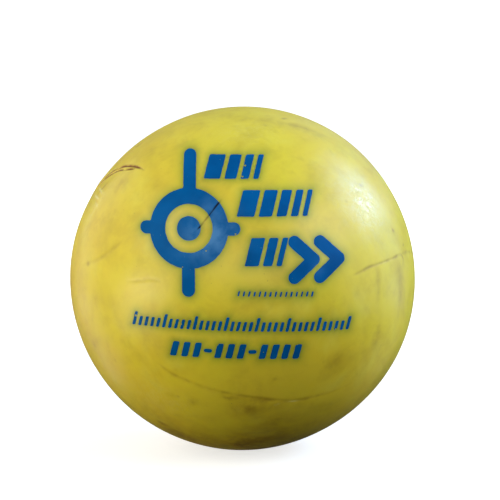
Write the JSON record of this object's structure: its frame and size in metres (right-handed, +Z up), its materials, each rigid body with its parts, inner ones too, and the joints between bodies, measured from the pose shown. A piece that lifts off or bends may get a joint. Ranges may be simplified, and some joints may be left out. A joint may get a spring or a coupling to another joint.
{
  "type": "weighted training ball",
  "caption": "Soft, smooth, hole-free yellow ball filled with loose sand, with a flush stopper at the back and a small flattened spot that it rests on.",
  "frame": {"origin": "centre of the small flattened spot that the ball rests on, straight below the ball's centre", "axes": "+Z up from the flattened spot through the ball's centre; the printed side faces -Y and the stopper is on +Y; +X is to the right as the print is looked at"},
  "size_m": [0.082, 0.082, 0.0816],
  "materials": {
    "yellow_pvc": "satin, smooth moulded soft PVC in yellow, scuffed and slightly soiled",
    "plug_pvc": "satin moulded soft PVC in yellow, slightly duller than the shell",
    "dry_sand": "dry washed fine sand",
    "blue_ink": "satin blue pad-printed ink, a film on the shell in the visual model only"
  },
  "bodies": {
    "ball": {"shell": "yellow_pvc", "fill_plug": "plug_pvc"},
    "fill": {"sand_fill": "dry_sand"}
  },
  "joints": [
    {"name": "fill_roll", "type": "hinge", "parent": "ball", "child": "fill", "pos_m": [0, 0, 0.04056], "axis": [1, 0, 0], "continuous": true}
  ]
}
